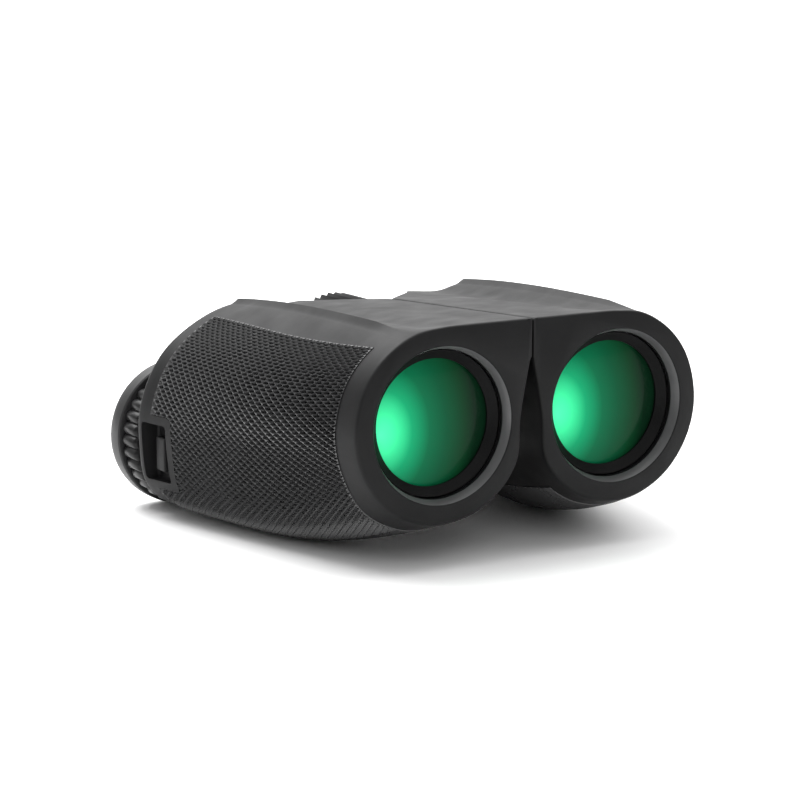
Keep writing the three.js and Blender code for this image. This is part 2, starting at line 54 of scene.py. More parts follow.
def pick(piece):
    deselectAll()
    piece.select_set(True)
    bpy.context.view_layer.objects.active = piece


def cleanUp(piece, merge=2e-6):
    pick(piece)
    bpy.ops.object.mode_set(mode="EDIT")
    bpy.ops.mesh.select_mode(type="VERT")
    bpy.ops.mesh.select_all(action="SELECT")
    bpy.ops.mesh.remove_doubles(threshold=merge)
    bpy.ops.mesh.delete_loose()
    bpy.ops.mesh.select_all(action="SELECT")
    bpy.ops.mesh.fill_holes(sides=0)
    bpy.ops.mesh.select_all(action="SELECT")
    bpy.ops.mesh.normals_make_consistent(inside=False)
    bpy.ops.object.mode_set(mode="OBJECT")


def gridPiece(name, columns, rows, points):
    # a grid primitive whose corners are laid over the given rows of points
    deselectAll()
    bpy.ops.mesh.primitive_grid_add(x_subdivisions=columns - 1, y_subdivisions=rows - 1, size=1)
    piece = bpy.context.object
    piece.name = piece.data.name = name
    piece.data.vertices.foreach_set("co", np.asarray(points, dtype=np.float32).ravel())
    piece.data.update()
    return piece


def boxPiece(name, low, high, bevel=0.0, segments=3):
    deselectAll()
    lowCorner, highCorner = inRow(*low), inRow(*high)
    bpy.ops.mesh.primitive_cube_add(size=1, location=(lowCorner + highCorner) / 2)
    piece = bpy.context.object
    piece.name = piece.data.name = name
    piece.scale = highCorner - lowCorner
    bpy.ops.object.transform_apply(location=True, rotation=True, scale=True)
    if bevel:
        bpy.ops.object.mode_set(mode="EDIT")
        bpy.ops.mesh.select_all(action="SELECT")
        bpy.ops.mesh.bevel(offset=bevel * mm, segments=segments, affect="EDGES")
        bpy.ops.object.mode_set(mode="OBJECT")
    return piece


def spunPiece(name, profile, x, z, steps=96, ribs=None):
    # profile is a closed loop of (radius, y); ribs is a function of the angle and radius
    deselectAll()
    bpy.ops.mesh.primitive_circle_add(vertices=len(profile), radius=1)
    piece = bpy.context.object
    piece.name = piece.data.name = name
    corners = [inRow(x + radius, y, z) for radius, y in profile]
    piece.data.vertices.foreach_set("co", [value for corner in corners for value in corner])
    bpy.ops.object.mode_set(mode="EDIT")
    bpy.ops.mesh.select_all(action="SELECT")
    centre = inRow(x, 0, z)
    bpy.ops.mesh.spin(steps=steps, angle=math.tau, center=centre, axis=(0, 1, 0))
    bpy.ops.object.mode_set(mode="OBJECT")
    cleanUp(piece)
    if ribs:
        for corner in piece.data.vertices:
            across = Vector((corner.co.x - centre.x, corner.co.z - centre.z))
            radius = across.length / mm
            turn = math.atan2(across.y, across.x)
            across *= ribs(turn, radius) / radius
            corner.co.x, corner.co.z = centre.x + across.x, centre.z + across.y
    return piece


def applyBoolean(piece, other, operation="DIFFERENCE"):
    pick(piece)
    change = piece.modifiers.new("change", "BOOLEAN")
    change.operation, change.solver, change.object = operation, "EXACT", other
    bpy.ops.object.modifier_apply(modifier="change")
    bpy.data.objects.remove(other, do_unlink=True)


def mirroredCopy(piece, name):
    copy = piece.copy()
    copy.data = piece.data.copy()
    copy.name = copy.data.name = name
    bpy.context.collection.objects.link(copy)
    for corner in copy.data.vertices:
        corner.co.x = -corner.co.x
    copy.data.flip_normals()
    cleanUp(copy, 1e-7)
    return copy


def finishPiece(piece, body, look, stands=(), angle=32):
    pick(piece)
    bpy.ops.object.shade_smooth_by_angle(angle=math.radians(angle))
    if not piece.data.materials:
        piece.data.materials.append(look)
    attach(piece, body)
    if stands:
        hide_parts(*stands)


def newLook(name, colour, roughness, metallic=0.0, gloss=0.5):
    look = bpy.data.materials.new(name)
    look.use_nodes = True
    tree = look.node_tree
    shader = tree.nodes["Principled BSDF"]
    shader.inputs["Base Color"].default_value = (*colour, 1)
    shader.inputs["Roughness"].default_value = roughness
    shader.inputs["Metallic"].default_value = metallic
    shader.inputs["Specular IOR Level"].default_value = gloss
    coords = tree.nodes.new("ShaderNodeTexCoord")
    return look, tree, shader, coords.outputs["Object"]


def addNoise(tree, coords, scale, detail=3.0, stretch=None):
    source = coords
    if stretch:
        mapping = tree.nodes.new("ShaderNodeMapping")
        mapping.inputs["Scale"].default_value = stretch
        tree.links.new(coords, mapping.inputs["Vector"])
        source = mapping.outputs["Vector"]
    noise = tree.nodes.new("ShaderNodeTexNoise")
    noise.inputs["Scale"].default_value = scale
    noise.inputs["Detail"].default_value = detail
    tree.links.new(source, noise.inputs["Vector"])
    return noise.outputs["Fac"]


def addRamp(tree, source, stops):
    ramp = tree.nodes.new("ShaderNodeValToRGB")
    while len(ramp.color_ramp.elements) < len(stops):
        ramp.color_ramp.elements.new(0.5)
    for element, (position, colour) in zip(ramp.color_ramp.elements, stops):
        element.position = position
        element.color = (*colour, 1)
    tree.links.new(source, ramp.inputs["Fac"])
    return ramp.outputs["Color"]


def addRange(tree, source, low, high):
    spread = tree.nodes.new("ShaderNodeMapRange")
    spread.inputs["From Min"].default_value = 0.3
    spread.inputs["From Max"].default_value = 0.7
    spread.inputs["To Min"].default_value = low
    spread.inputs["To Max"].default_value = high
    tree.links.new(source, spread.inputs["Value"])
    return spread.outputs["Result"]


def addBump(tree, shader, source, strength, distance):
    bump = tree.nodes.new("ShaderNodeBump")
    bump.inputs["Strength"].default_value = strength
    bump.inputs["Distance"].default_value = distance
    tree.links.new(source, bump.inputs["Height"])
    tree.links.new(bump.outputs["Normal"], shader.inputs["Normal"])


def mottledLook(name, dark, light, roughness, patch, grain, bumpDepth, metallic=0.0, stretch=None, sheen=0.5):
    # a moulded surface: faint colour patches, uneven gloss and a fine grain
    look, tree, shader, coords = newLook(name, dark, roughness, metallic, sheen)
    patches = addNoise(tree, coords, patch, 4.0)
    tree.links.new(addRamp(tree, patches, [(0.3, dark), (0.7, light)]), shader.inputs["Base Color"])
    gloss = addNoise(tree, coords, patch * 2.3, 5.0)
    tree.links.new(addRange(tree, gloss, roughness - 0.06, roughness + 0.07), shader.inputs["Roughness"])
    addBump(tree, shader, addNoise(tree, coords, grain, 2.0, stretch), 0.35, bumpDepth * mm)
    return look


looks = {
    "armour": mottledLook(
        "armour", (0.006, 0.006, 0.0063), (0.0085, 0.0085, 0.0089), 0.48, 60, 2600, 0.03, sheen=0.15,
    ),
    # grip: the grip rubber's lit copy, lightened as a painted highlight on the knurl's ridges
    "grip": mottledLook(
        "grip", (0.013, 0.013, 0.0136), (0.021, 0.021, 0.022), 0.3, 90, 3000, 0.01, sheen=0.65,
    ),
    # pit: the grip rubber's shaded copy, far darker, as painted shade in the knurl's pits
    "pit": mottledLook(
        "pit", (0.0012, 0.0012, 0.0013), (0.002, 0.002, 0.0021), 0.6, 90, 3000, 0.01, sheen=0.04,
    ),
    "keeper": mottledLook(
        "keeper", (0.002, 0.002, 0.0021), (0.0035, 0.0035, 0.0037), 0.5, 90, 2400, 0.01, sheen=0.1,
    ),
    "plastic": mottledLook(
        "plastic", (0.004, 0.004, 0.0042), (0.0065, 0.0065, 0.0068), 0.33, 80, 2200, 0.015, sheen=0.22,
    ),
    "satin": mottledLook(
        "satin", (0.014, 0.014, 0.0145), (0.019, 0.019, 0.0197), 0.42, 70, 2400, 0.02, sheen=0.3,
    ),
    # bezel: the shell's rubber painted far lighter, a painted highlight on the bezel cone that faces the
    # light
    "bezel": mottledLook(
        "bezel", (0.06, 0.06, 0.062), (0.085, 0.085, 0.087), 0.34, 80, 2400, 0.01, sheen=0.5,
    ),
    "blackMetal": mottledLook(
        "blackMetal", (0.008, 0.008, 0.0085), (0.013, 0.013, 0.0136), 0.4, 120, 1800, 0.01, 0.4, (1, 9, 1),
    ),
    "steel": mottledLook(
        "steel", (0.42, 0.42, 0.43), (0.55, 0.55, 0.56), 0.3, 200, 1500, 0.01, 1.0, (1, 14, 1),
    ),
    "brass": mottledLook(
        "brass", (0.5, 0.36, 0.14), (0.66, 0.48, 0.2), 0.28, 200, 1500, 0.01, 1.0, (1, 14, 1),
    ),
}

prismLook, prismTree, prismShader, prismCoords = newLook("prismGlass", (0.86, 0.93, 0.9), 0.04)
prismShader.inputs["Transmission Weight"].default_value = 0.9
prismShader.inputs["IOR"].default_value = 1.57
prismTree.links.new(
    addRange(prismTree, addNoise(prismTree, prismCoords, 300), 0.02, 0.08), prismShader.inputs["Roughness"],
)
looks["glass"] = prismLook

eyeLook, eyeTree, eyeShader, eyeCoords = newLook("eyeGlass", (0.02, 0.035, 0.06), 0.05)
eyeShader.inputs["Coat Weight"].default_value = 1.0
eyeShader.inputs["Coat Tint"].default_value = (0.55, 0.6, 1.0, 1)
eyeTints = [(0.3, (0.012, 0.02, 0.045)), (0.7, (0.03, 0.03, 0.07))]
eyeTree.links.new(
    addRamp(eyeTree, addNoise(eyeTree, eyeCoords, 40), eyeTints), eyeShader.inputs["Base Color"],
)
looks["eyeGlass"] = eyeLook


def coatingAndPaintedReflectionLook(name, centreX):
    # the green coating's own colour with painted light: painted bright where it would mirror the light side
    # of the barrel, deep green across from it, and a weak emission makes the lens glow though it is no lamp
    look, tree, shader, coords = newLook(name, (0.0, 0.3, 0.16), 0.12, 0.0, 0.04)
    paintedReflectionSpot = {"aside": -11, "below": -1.5, "reach": 21, "upright": 0.78}
    centre = inRow(centreX + paintedReflectionSpot["aside"], 0, paintedReflectionSpot["below"])
    mapping = tree.nodes.new("ShaderNodeMapping")
    reach = paintedReflectionSpot["reach"] * mm
    across, upward = centre.x / reach, centre.z * paintedReflectionSpot["upright"] / reach
    mapping.inputs["Location"].default_value = (-across, 0, -upward)
    mapping.inputs["Scale"].default_value = (1 / reach, 0, paintedReflectionSpot["upright"] / reach)
    tree.links.new(coords, mapping.inputs["Vector"])
    ball = tree.nodes.new("ShaderNodeTexGradient")
    ball.gradient_type = "SPHERICAL"
    tree.links.new(mapping.outputs["Vector"], ball.inputs["Vector"])
    stops = [
        (0.0, (0.0024, 0.014, 0.006)), (0.12, (0.003, 0.033, 0.0116)), (0.32, (0.0022, 0.065, 0.026)),
        (0.5, (0.0025, 0.11, 0.045)), (0.68, (0.006, 0.29, 0.12)), (0.88, (0.05, 0.8, 0.33)),
        (1.0, (0.08, 0.9, 0.42)),
    ]
    colour = addRamp(tree, ball.outputs["Fac"], stops)
    tree.links.new(colour, shader.inputs["Base Color"])
    # painted glow: the painted colour is also given off as light
    tree.links.new(colour, shader.inputs["Emission Color"])
    shader.inputs["Emission Strength"].default_value = 0.35
    shader.inputs["Coat Weight"].default_value = 0.04
    shader.inputs["Coat Roughness"].default_value = 0.03
    return look


camera = {"place": (-0.2867, -0.4707, 0.1300), "azimuth": -30.92, "elevation": 10.83, "lens": 122.76}
deselectAll()
bpy.ops.object.camera_add(location=camera["place"])
eye = bpy.context.object
turn, tilt = math.radians(camera["azimuth"]), math.radians(camera["elevation"])
away = Vector((math.sin(turn) * math.cos(tilt), -math.cos(turn) * math.cos(tilt), math.sin(tilt)))
eye.rotation_mode = "QUATERNION"
eye.rotation_quaternion = (-away).to_track_quat("-Z", "Y")
eye.data.lens = camera["lens"]
eye.data.sensor_width = 36
eye.data.clip_start = 0.01
bpy.context.scene.camera = eye

lamps = [
    {"name": "topSoftbox", "place": (-0.15, 0.35, 0.75), "size": 0.7, "watts": 8},
    {"name": "leftSoftbox", "place": (-0.85, 0.3, 0.4), "size": 0.5, "watts": 0.7},
    {"name": "frontSoftbox", "place": (-0.3, -0.9, 0.6), "size": 0.6, "watts": 2.4},
]
for lamp in lamps:
    bpy.ops.object.light_add(type="AREA", location=lamp["place"])
    box = bpy.context.object
    box.name = lamp["name"]
    box.data.size = lamp["size"]
    box.data.energy = lamp["watts"]
    box.rotation_mode = "QUATERNION"
    box.rotation_quaternion = (Vector((0, 0, 0.02)) - Vector(lamp["place"])).to_track_quat("-Z", "Y")

world = bpy.data.worlds.new("studio")
bpy.context.scene.world = world
world.use_nodes = True
sky = world.node_tree
direction = sky.nodes.new("ShaderNodeTexCoord")
towards = sky.nodes.new("ShaderNodeVectorMath")
towards.operation = "DOT_PRODUCT"
towards.inputs[1].default_value = (0.33, 0.38, 0.864)
sky.links.new(direction.outputs["Generated"], towards.inputs[0])
brightness = [(0.0, (0.3, 0.3, 0.3)), (0.45, (0.7, 0.7, 0.7)), (0.9, (2.4, 2.4, 2.4))]
sky.links.new(addRamp(sky, towards.outputs["Value"], brightness), sky.nodes["Background"].inputs["Color"])
sky.nodes["Background"].inputs["Strength"].default_value = 1.0

bpy.ops.mesh.primitive_plane_add(size=14, location=(0, 3, 0))
floor = bpy.context.object
floor.name = "floor"
floorLook, floorTree, floorShader, floorCoords = newLook("paleFloor", (0.93, 0.93, 0.93), 0.7)
floorTints = [(0.3, (0.92, 0.92, 0.92)), (0.7, (0.94, 0.94, 0.94))]
floorTree.links.new(
    addRamp(floorTree, addNoise(floorTree, floorCoords, 3), floorTints), floorShader.inputs["Base Color"],
)
floor.data.materials.append(floorLook)
bpy.context.scene.view_settings.view_transform = "Standard"
print("camera, light and floor ready")

housing = {
    "end": 70, "barrel": 19.1, "wall": 2.2, "frontWall": 2.6, "objectiveX": 20, "ocularX": 36,
    "ocularZ": -13, "hingeZ": 2, "columns": 150, "rowGap": 1.25, "ridgeHeight": 0.85, "ridgeWidth": 1.9,
    "recessRadius": 13, "recessFront": 53.6, "wheelFront": 63, "knuckleRadius": 4.4, "axleRadius": 2,
    "gap": 0.3, "past": 72,
}
knuckles = [(14, 25, 1), (25.4, 38, -1), (38.4, 50, 1)]
lug = {
    "front": 60, "rear": 68, "top": -7.5, "bottom": -19.5, "floorX": 46.7, "border": 1.8,
    "post": ((45.5, 61.2, -17.2), (48.9, 65, -10.2)),
}


def onBarrel(x, sign):
    return sign * math.sqrt(housing["barrel"] ** 2 - (x - housing["objectiveX"]) ** 2)


def belly(t):
    if t < 0.6:
        return 1.13 * math.sin(math.pi / 2 * t / 0.6)
    return 1.13 - 0.13 * ((t - 0.6) / 0.4) ** 2


growths = {
    "straight": lambda t: t,
    "late": lambda t: t ** 3,
    "early": lambda t: t ** 0.7,
    "belly": belly,
}
# front x and z, rear x and z, and how the height changes between them
outlineKeys = [
    (0.2, 19.1, 0.2, 14.9, "straight"),
    (7, 19.1, 7, 14.7, "straight"),
    (14, 19.1, 14, 14.3, "straight"),
    (20, 19.1, 21, 13.9, "early"),
    (26.5, onBarrel(26.5, 1), 27.6, 15, "late"),
    (33, onBarrel(33, 1), 35.6, 12.9, "late"),
    (37.2, onBarrel(37.2, 1), 45.2, 6.2, "straight"),
    (39.1, 0, 50.4, -4, "straight"),
    (37.6, onBarrel(37.6, -1), 50.9, -13, "straight"),
    (33, onBarrel(33, -1), 49.4, -21, "belly"),
    (26.5, onBarrel(26.5, -1), 44.2, -25.6, "belly"),
    (20, -19.1, 36, -27.1, "belly"),
    (12, onBarrel(12, -1), 27, -25.3, "belly"),
    (6, onBarrel(6, -1), 17, -20, "belly"),
    (3, -8, 6, -9, "straight"),
    (2.4, 0, 3, 0, "straight"),
    (0.2, 11.6, 0.2, 11.6, "straight"),
]
crestKey = 4


def smoothLine(keys, fine=20):
    # a centripetal spline through the keys; also gives how far along each key lies
    keys = np.array(keys, dtype=float)
    padded = np.vstack([2 * keys[0] - keys[1], keys, 2 * keys[-1] - keys[-2]])
    pieces = []
    for i in range(1, len(padded) - 2):
        p = padded[i - 1:i + 3]
        knots = np.concatenate([[0], np.cumsum(np.sqrt(np.linalg.norm(np.diff(p, axis=0), axis=1)))])
        t = np.linspace(knots[1], knots[2], fine, endpoint=False)[:, None]
        a = [(knots[j + 1] - t) / (knots[j + 1] - knots[j]) * p[j]
             + (t - knots[j]) / (knots[j + 1] - knots[j]) * p[j + 1] for j in range(3)]
        b = [(knots[j + 2] - t) / (knots[j + 2] - knots[j]) * a[j]
             + (t - knots[j]) / (knots[j + 2] - knots[j]) * a[j + 1] for j in range(2)]
        span = knots[2] - knots[1]
        pieces.append((knots[2] - t) / span * b[0] + (t - knots[1]) / span * b[1])
    line = np.vstack([*pieces, padded[-2:-1]])
    along = np.concatenate([[0], np.cumsum(np.linalg.norm(np.diff(line, axis=0), axis=1))])
    return line, along, along[crestKey * fine]


def inward(points, closed=True):
    if closed:
        tangent = np.roll(points, -1, axis=0) - np.roll(points, 1, axis=0)
    else:
        tangent = np.gradient(points, axis=0)
    tangent /= np.linalg.norm(tangent, axis=1)[:, None]
    return np.column_stack([tangent[:, 1], -tangent[:, 0]])


def outlineAt(y, count, inset=0.0, start=0.0, stop=1.0, ridge=True):
    # one housing's outline at y, from the seam over the top and round, as x and z
    t = min(max(y, 0), housing["end"]) / housing["end"]
    keys = []
    for frontX, frontZ, rearX, rearZ, growth in outlineKeys:
        grown = growths[growth](t)
        keys.append((frontX + (rearX - frontX) * t, frontZ + (rearZ - frontZ) * grown))
    line, along, crest = smoothLine(keys)
    wanted = np.linspace(start, stop, count) * along[-1]
    if ridge:
        near, gathered = 2.6, 21  # this many columns gather this near the crest
        wanted = np.concatenate([
            np.linspace(0, crest - near, count // 4, endpoint=False),
            crest + np.linspace(-near, near, gathered),
            np.linspace(crest + near, along[-1], count - count // 4 - gathered + 1)[1:],
        ])
    points = np.column_stack([np.interp(wanted, along, line[:, axis]) for axis in (0, 1)])
    normals = inward(points, closed=start == 0 and stop == 1)
    if ridge:
        fade = min(1, max(0, (y - 3) / 10))
        away = np.clip(1 - np.abs(wanted - crest) / housing["ridgeWidth"], 0, 1)
        points -= normals * (housing["ridgeHeight"] * fade * away ** 1.6)[:, None]
    return points + normals * inset


def housingRows():
    rows = [(0, 0.5), (0.08, 0.3), (0.25, 0.12), (0.5, 0.03), (0.9, 0)]
    y = 2
    while y < housing["end"] - 2:
        rows.append((y, 0))
        y += housing["rowGap"]
    return rows + [(68.6, 0.0), (69.1, 0.1), (69.5, 0.3), (69.8, 0.6), (70, 1.1)]


def outerBody(name):
    rows = []
    for y, inset in housingRows():
        ring = outlineAt(y, housing["columns"], inset)
        top = ring[0][1]
        ring[0] = (0.75 + inset, top)
        seam = 0.2
        corner = [(seam, top - 0.55), (seam + 0.08, top - 0.25), (seam + 0.28, top - 0.06)]
        ring[-1][0] = seam
        ring = np.vstack([ring[-1:], corner, ring])
        rows.append([inRow(x, y, z) for x, z in ring])
    piece = gridPiece(name, len(rows[0]), len(rows), rows)
    cleanUp(piece)
    return piece


def rod(name, radius, front, rear, x, z, steps=72):
    return spunPiece(name, [(0, front), (radius, front), (radius, rear), (0, rear)], x, z, steps)


def cavityBody():
    ys = [housing["frontWall"], 6, 13, 22, 32, 42, 52, 61, 70, 71]
    rows = []
    for y in ys:
        rows.append([inRow(x, y, z) for x, z in outlineAt(min(y, 70), 60, housing["wall"], ridge=False)])
    piece = gridPiece("cavity", 61, len(ys), [[*row, row[0]] for row in rows])
    cleanUp(piece)
    hinge = housing["hingeZ"]
    applyBoolean(piece, rod("keep", housing["knuckleRadius"] + 2, 11.9, housing["recessFront"], 0, hinge))
    recess, wall = housing["recessRadius"], housing["wall"]
    applyBoolean(piece, rod("keep", recess + wall, housing["recessFront"] - wall, housing["past"], 0, hinge))
    applyBoolean(piece, boxPiece(
        "keep", (lug["floorX"] - 1, lug["front"] - 1, lug["bottom"] - 1), (60, 72, lug["top"] + 1),
    ))
    cleanUp(piece, 2e-5)
    return piece


# start, shift and stop are parts of the way round the outline
grip = {
    "start": 8 / 34, "shift": 0.8 / 34, "stop": 26 / 34, "front": 6, "rear": 65, "depth": 1.2, "gap": 0.12,
}


def gripStart(y):
    return grip["start"] + grip["shift"] * (1 - y / housing["end"])


def frameBlock(border):
    # the smooth frame round the strap lug, which the grip leaves free
    low = (40, lug["front"] - border, lug["bottom"] - border)
    return boxPiece("frameBlock", low, (60, 71, lug["top"] + border), 1.0, 3)


def gripBlock(name, border, outer, inner, margin, count=60):
    # the band of skin that the grip panel fills, as a closed body
    rows = []
    ys = np.linspace(grip["front"] + margin, grip["rear"] - margin, 40)
    for y in ys:
        over = outlineAt(y, count, outer, gripStart(y), grip["stop"], ridge=False)
        under = outlineAt(y, count, inner, gripStart(y), grip["stop"], ridge=False)[::-1]
        ring = np.vstack([over, under, over[:1]])
        rows.append([inRow(x, y, z) for x, z in ring])
    piece = gridPiece(name, len(rows[0]), len(rows), rows)
    cleanUp(piece)
    applyBoolean(piece, frameBlock(border))
    return piece


def armSlot():
    slot = boxPiece("slot", (8, housing["recessFront"], -4.6), (26, housing["wheelFront"] - 0.3, 4.6))
    reach = math.atan2(housing["ocularZ"] - housing["hingeZ"], housing["ocularX"])
    for corner in slot.data.vertices:
        x, z = corner.co.x, corner.co.z - place["axisZ"] * mm
        corner.co.x = x * math.cos(reach) - z * math.sin(reach)
        corner.co.z = x * math.sin(reach) + z * math.cos(reach) + (housing["hingeZ"] + place["axisZ"]) * mm
    return slot


def wheelOpening():
    corners = [(-1, 53.4), (0.6, 53.4), (4.6, 57.6), (8.6, 62), (12, 66.2), (14.4, 71), (-1, 71)]
    rows = [[inRow(x, y, z) for x, y in [*corners, corners[0]]] for z in (housing["hingeZ"], 40)]
    piece = gridPiece("wheelOpening", len(rows[0]), 2, rows)
    cleanUp(piece)
    return piece


def commonShell():
    shell = outerBody("shell")
    applyBoolean(shell, gripBlock("gripRecess", lug["border"], -2, grip["depth"], 0))
    applyBoolean(shell, cavityBody())
    bezel = [(0, -1), (16.4, -1), (15.5, -0.02), (15.28, 0.15), (14.56, 1.93), (14.5, 2.05)]
    bezel += [(14.5, 3.6), (0, 3.6)]
    applyBoolean(shell, spunPiece("bezelCut", bezel, housing["objectiveX"], 0, 144))
    applyBoolean(shell, rod(
        "wheelRecess", housing["recessRadius"], housing["recessFront"], 72, 0, housing["hingeZ"], 96,
    ))
    applyBoolean(shell, wheelOpening())
    applyBoolean(shell, boxPiece(
        "lugPocket", (lug["floorX"], lug["front"], lug["bottom"]), (60, lug["rear"], lug["top"]), 0.7, 4,
    ))
    applyBoolean(shell, boxPiece("lugPost", *lug["post"], 0.35), "UNION")
    applyBoolean(shell, armSlot())
    return shell


def addKnuckles(shell, side):
    # the hinge's knuckles are hollow rings, so that the axle passes through them
    hinge, radius = housing["hingeZ"], housing["knuckleRadius"]
    bore = housing["axleRadius"] + housing["gap"]
    for front, rear, owner in knuckles:
        if owner == side:
            profile = [(bore, front), (radius - 0.3, front), (radius, front + 0.3), (radius, rear - 0.3)]
            profile += [(radius - 0.3, rear), (bore, rear)]
            low, high = sorted((3.2 * side, 6 * side))
            web = boxPiece("web", (low, front, hinge - 1.4), (high, rear, hinge + 1.4))
            applyBoolean(shell, spunPiece("knuckle", profile, 0, hinge, 72), "UNION")
            applyBoolean(shell, web, "UNION")
        else:
            applyBoolean(shell, rod("pocket", radius + housing["gap"], front - 0.15, rear + 0.15, 0, hinge))


bezelHighlightBand = {"inner": 14.45, "outer": 15.4, "front": 0.1, "rear": 2.1}
leftShell = commonShell()
leftShell.name = "leftShell"
# the bezel cone's faces take the lighter bezel material as a painted highlight; the rest of the shell takes
# the armour
for look in ("armour", "bezel"):
    leftShell.data.materials.append(looks[look])
for face in leftShell.data.polygons:
    across = math.hypot(face.center.x / mm - housing["objectiveX"], face.center.z / mm - place["axisZ"])
    back = face.center.y / mm - place["frontY"]
    onRing = bezelHighlightBand["inner"] < across < bezelHighlightBand["outer"]
    face.material_index = int(onRing and bezelHighlightBand["front"] < back < bezelHighlightBand["rear"])
rightShell = mirroredCopy(leftShell, "rightShell")
addKnuckles(leftShell, 1)
addKnuckles(rightShell, -1)
finishPiece(leftShell, "left_half", looks["armour"], ["left_body_shell"])
finishPiece(rightShell, "right_half", looks["armour"], ["right_body_shell"])
print("shells ready", len(leftShell.data.polygons))


def gripPanel():
    # thin ridges round diamond pits, and furrows round the section underneath; four samples a period
    knurl = {
        "depth": 0.85, "proud": 0.16, "furrow": 1.15, "under": 1.05, "ridgeFrom": 0.7, "around": 1.47,
        "front": 2.4, "rear": 2.0, "slope": 0.72, "paintedShadeFrom": 0.62,
    }
    low, high = grip["front"] + grip["gap"], grip["rear"] - grip["gap"]
    ys = [low]
    while ys[-1] < high - 0.3:
        part = (ys[-1] - low) / (high - low)
        ys.append(ys[-1] + (knurl["front"] + (knurl["rear"] - knurl["front"]) * part) / 4)
    ys = low + (np.array(ys) - low) * (high - low) / (ys[-1] - low)
    middle = outlineAt(36, 200, 0, gripStart(36), grip["stop"], ridge=False)
    length = np.linalg.norm(np.diff(middle, axis=0), axis=1).sum()
    columns = 4 * round(length / knurl["around"])
    edge = grip["gap"] / 130
    depths = np.array([0, knurl["slope"], 1, knurl["slope"]])
    column = np.arange(columns + 1)
    points, faces, sunk = [], [], []
    for row, y in enumerate(ys):
        line = outlineAt(y, columns + 1, 0, gripStart(y) + edge, grip["stop"] - edge, ridge=False)
        normals = inward(line, closed=False)
        net = np.minimum(depths[(row + column) % 4], depths[(row - column) % 4])
        pit = np.where(column / columns > knurl["ridgeFrom"], depths[row % 4] * knurl["furrow"], net)
        pit[[0, -1]] = 0
        if row in (0, len(ys) - 1):
            pit[:] = 0
        sunk.append(pit)
        over = line + normals * (pit * knurl["depth"] - knurl["proud"])[:, None]
        under = (line + normals * knurl["under"])[::-1]
        points += [inRow(x, y, z) for x, z in np.vstack([over, under])]
    around = 2 * (columns + 1)
    for row in range(len(ys) - 1):
        for i in range(around):
            a, b = row * around + i, row * around + (i + 1) % around
            c, d = b + around, a + around
            if knurl["ridgeFrom"] * columns < i < columns:
                faces.append((a, b, c, d))
            elif i < columns and (row + i + 1) % 4 == 0:
                faces += [(a, b, d), (b, c, d)]
            elif i < columns:
                faces += [(a, b, c), (a, c, d)]
            else:
                faces.append((a, b, c, d))
    faces.append(tuple(reversed(range(around))))
    faces.append(tuple((len(ys) - 1) * around + i for i in range(around)))
    mesh = bpy.data.meshes.new("leftGrip")
    mesh.from_pydata(points, [], faces)
    # the deepest faces take the pit copy as painted shade, the rest the lighter grip copy as painted
    # highlight
    for look in ("grip", "pit"):
        mesh.materials.append(looks[look])
    sunk = np.array([np.concatenate([pit, np.zeros(columns + 1)]) for pit in sunk]).ravel()
    for face in mesh.polygons:
        depth = sum(sunk[corner] for corner in face.vertices) / len(face.vertices)
        face.material_index = int(depth > knurl["paintedShadeFrom"])
    panel = bpy.data.objects.new("leftGrip", mesh)
    bpy.context.collection.objects.link(panel)
    cleanUp(panel, 1e-7)
    border = lug["border"] + grip["gap"]
    applyBoolean(panel, frameBlock(border))
    return panel


leftGrip = gripPanel()
rightGrip = mirroredCopy(leftGrip, "rightGrip")
finishPiece(leftGrip, "left_half", looks["grip"], ["left_grip_panel"], 15)
finishPiece(rightGrip, "right_half", looks["grip"], ["right_grip_panel"], 15)
print("grips ready", len(leftGrip.data.polygons))


def arc(radius, front, bulge, steps=10):
    # a shallow dome's profile from its edge to the axis
    return [(radius * (1 - i / steps), front - bulge * (1 - (1 - i / steps) ** 2)) for i in range(steps + 1)]


def lensPiece(name, radius, front, rear, frontBulge, rearBulge, x, z):
    profile = arc(radius, front, frontBulge)[::-1] + arc(radius, rear, -rearBulge)
    return spunPiece(name, profile, x, z, 96)


ringProfile = [
    (12.4, 4.25), (13.9, 2.98), (14.0, 2.9), (14.15, 2.9), (14.2, 2.98), (14.2, 4.6), (12.4, 4.6),
]
cellProfile = [
    (14.5, 2.9), (15.1, 2.9), (15.1, 11.6), (10.6, 11.6), (10.6, 8.6), (13.1, 8.6), (13.1, 4.9), (14.5, 4.9),
]
for side, body in ((1, "left_half"), (-1, "right_half")):
    word = "left" if side > 0 else "right"
    x = side * housing["objectiveX"]
    lens = lensPiece(f"{word}Objective", 12.8, 5.2, 7.6, 0.9, 0.9, x, 0)
    finishPiece(lens, body, coatingAndPaintedReflectionLook(f"{word}CoatingPaintedReflection", x), [f"{word}_objective_lens"])
    keeper = spunPiece(f"{word}Keeper", ringProfile, x, 0, 144)
    finishPiece(keeper, body, looks["keeper"], [f"{word}_objective_ring"])
    cell = spunPiece(f"{word}Cell", cellProfile, x, 0, 96)
    finishPiece(cell, body, looks["blackMetal"], [f"{word}_objective_cell"])
print("objectives ready")


def scallops(count, depth, outer):
    def shape(turn, radius):
        if radius < outer - depth - 0.6:
            return radius
        return radius - depth * (1 - abs(math.cos(turn * count / 2)) ** 0.8)
    return shape


